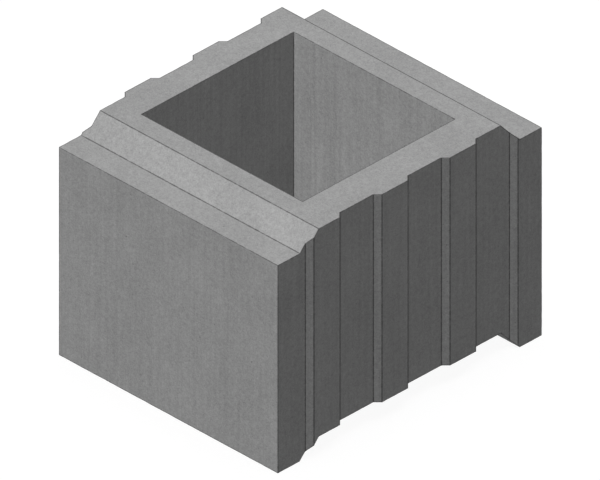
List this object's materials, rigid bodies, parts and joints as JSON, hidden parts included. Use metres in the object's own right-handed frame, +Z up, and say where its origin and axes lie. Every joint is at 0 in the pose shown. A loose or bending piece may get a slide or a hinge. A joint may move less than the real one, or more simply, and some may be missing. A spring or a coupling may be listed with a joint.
{
  "type": "ventilation block",
  "caption": "Cast concrete ventilation block with a rectangular vertical duct, a raised tongue and bed groove for stacking, and ribbed and grooved sides that interlock.",
  "frame": {"origin": "middle of the bounding box in plan, on the floor under the two legs", "axes": "+X across the face, towards the ribbed side; +Y from the front face to the back face, along the joint with the next block; +Z up, along the duct"},
  "size_m": [0.253, 0.294, 0.2165],
  "materials": {
    "concrete": "matte, smooth cast"
  },
  "bodies": {
    "root": {"vent_block": "concrete"}
  },
  "joints": []
}
